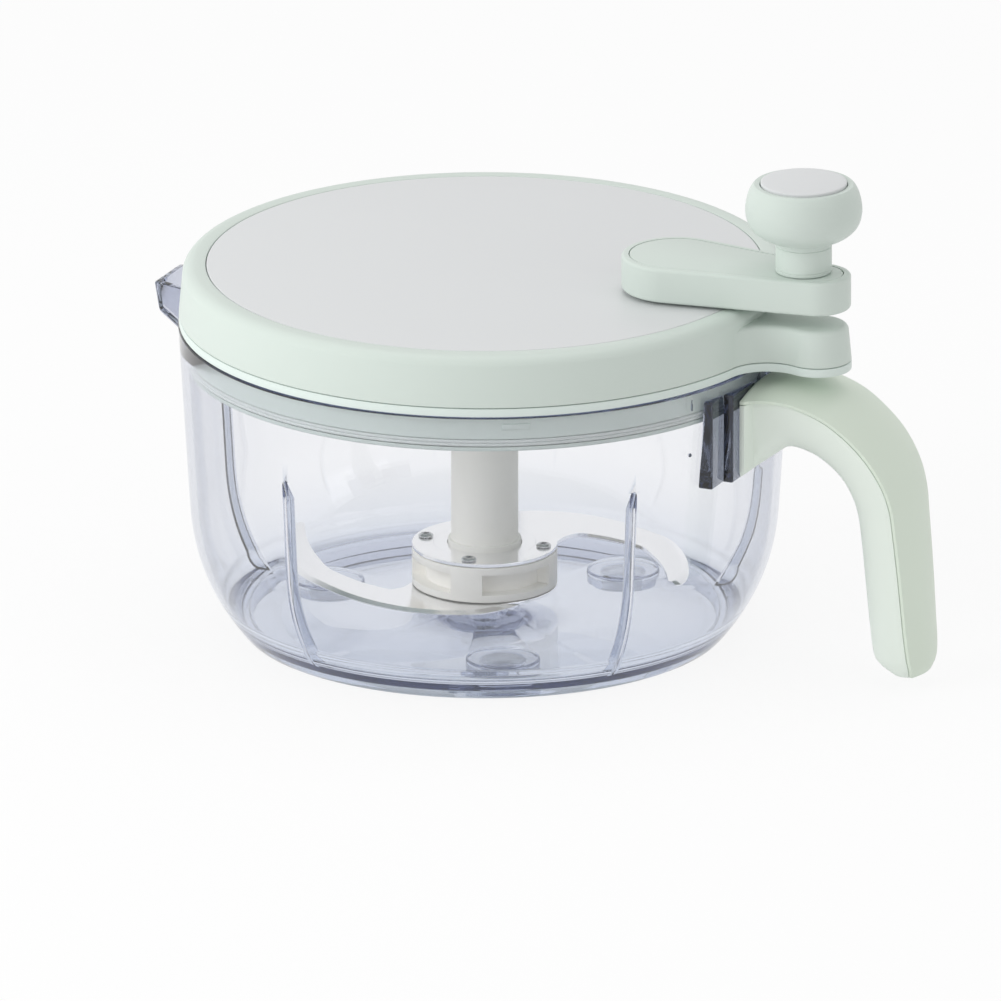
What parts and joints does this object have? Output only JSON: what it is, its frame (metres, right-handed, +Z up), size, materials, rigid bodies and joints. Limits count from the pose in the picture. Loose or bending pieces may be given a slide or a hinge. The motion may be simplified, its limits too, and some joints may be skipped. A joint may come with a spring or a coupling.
{
  "type": "crank food chopper",
  "caption": "Hand cranked food chopper: clear bowl with spout and side handle, geared lid with a crank arm and knob, curved blades on a centre pin.",
  "frame": {"origin": "centre of the flat underside of the bowl's centre boss, on the bowl axis", "axes": "+Z up along the bowl axis, +X towards the handle, -X towards the spout"},
  "size_m": [0.2911, 0.2132, 0.1786],
  "materials": {
    "clear_bowl": "clear polished copolyester, faintly blue",
    "mint_plastic": "satin moulded pale green ABS",
    "pale_plate": "satin moulded pale grey ABS",
    "cream_plastic": "satin moulded cream polypropylene",
    "gear_plastic": "moulded white acetal",
    "steel": "polished stainless steel",
    "bronze": "sintered bronze",
    "silicone": "matt translucent silicone"
  },
  "bodies": {
    "base": {"bowl": "clear_bowl", "foot_pad_1": "silicone", "foot_pad_2": "silicone", "foot_pad_3": "silicone", "centre_pin": "steel", "handle_grip": "mint_plastic", "handle_cover": "mint_plastic"},
    "lid": {"lid_base": "mint_plastic", "lid_shell": "mint_plastic", "top_plate": "pale_plate", "lid_seal": "silicone", "lid_screw_1": "steel", "lid_screw_2": "steel", "lid_screw_3": "steel", "lid_screw_4": "steel", "idler_axle": "steel", "output_bush": "bronze", "crank_bush": "bronze"},
    "crank": {"crank_gear": "gear_plastic", "crank_shaft": "steel", "crank_arm": "mint_plastic", "crank_inlay": "mint_plastic", "crank_screw": "steel", "knob_stem": "mint_plastic", "knob_spindle": "steel"},
    "idler": {"idler_gear": "gear_plastic"},
    "output_drive": {"output_gear": "gear_plastic"},
    "blades": {"blade_hub": "cream_plastic", "upper_blade": "steel", "lower_blade": "steel", "blade_rivet_1": "steel", "blade_rivet_2": "steel", "blade_rivet_3": "steel", "blade_rivet_4": "steel"},
    "knob": {"knob_body": "mint_plastic", "knob_cap": "pale_plate"}
  },
  "joints": [
    {"name": "lid_lift", "type": "slide", "parent": "base", "child": "lid", "axis": [0, 0, 1], "range_m": [0, 0.08]},
    {"name": "crank_turn", "type": "hinge", "parent": "lid", "child": "crank", "pos_m": [0.073, 0, 0.138], "axis": [0, 0, 1], "continuous": true},
    {"name": "idler_turn", "type": "hinge", "parent": "lid", "child": "idler", "pos_m": [0.02829, 0.00511, 0.12], "axis": [0, 0, 1], "continuous": true},
    {"name": "output_turn", "type": "hinge", "parent": "lid", "child": "output_drive", "pos_m": [0, 0, 0.12], "axis": [0, 0, 1], "continuous": true},
    {"name": "blade_turn", "type": "hinge", "parent": "base", "child": "blades", "pos_m": [0, 0, 0.03], "axis": [0, 0, 1], "continuous": true},
    {"name": "knob_turn", "type": "hinge", "parent": "crank", "child": "knob", "pos_m": [0.1209, 0, 0.16], "axis": [0, 0, 1], "continuous": true}
  ],
  "couplings": [
    {"joint": "idler_turn", "follows": "crank_turn", "ratio": -1.4},
    {"joint": "output_turn", "follows": "crank_turn", "ratio": 2.625},
    {"joint": "blade_turn", "follows": "crank_turn", "ratio": 2.625}
  ]
}
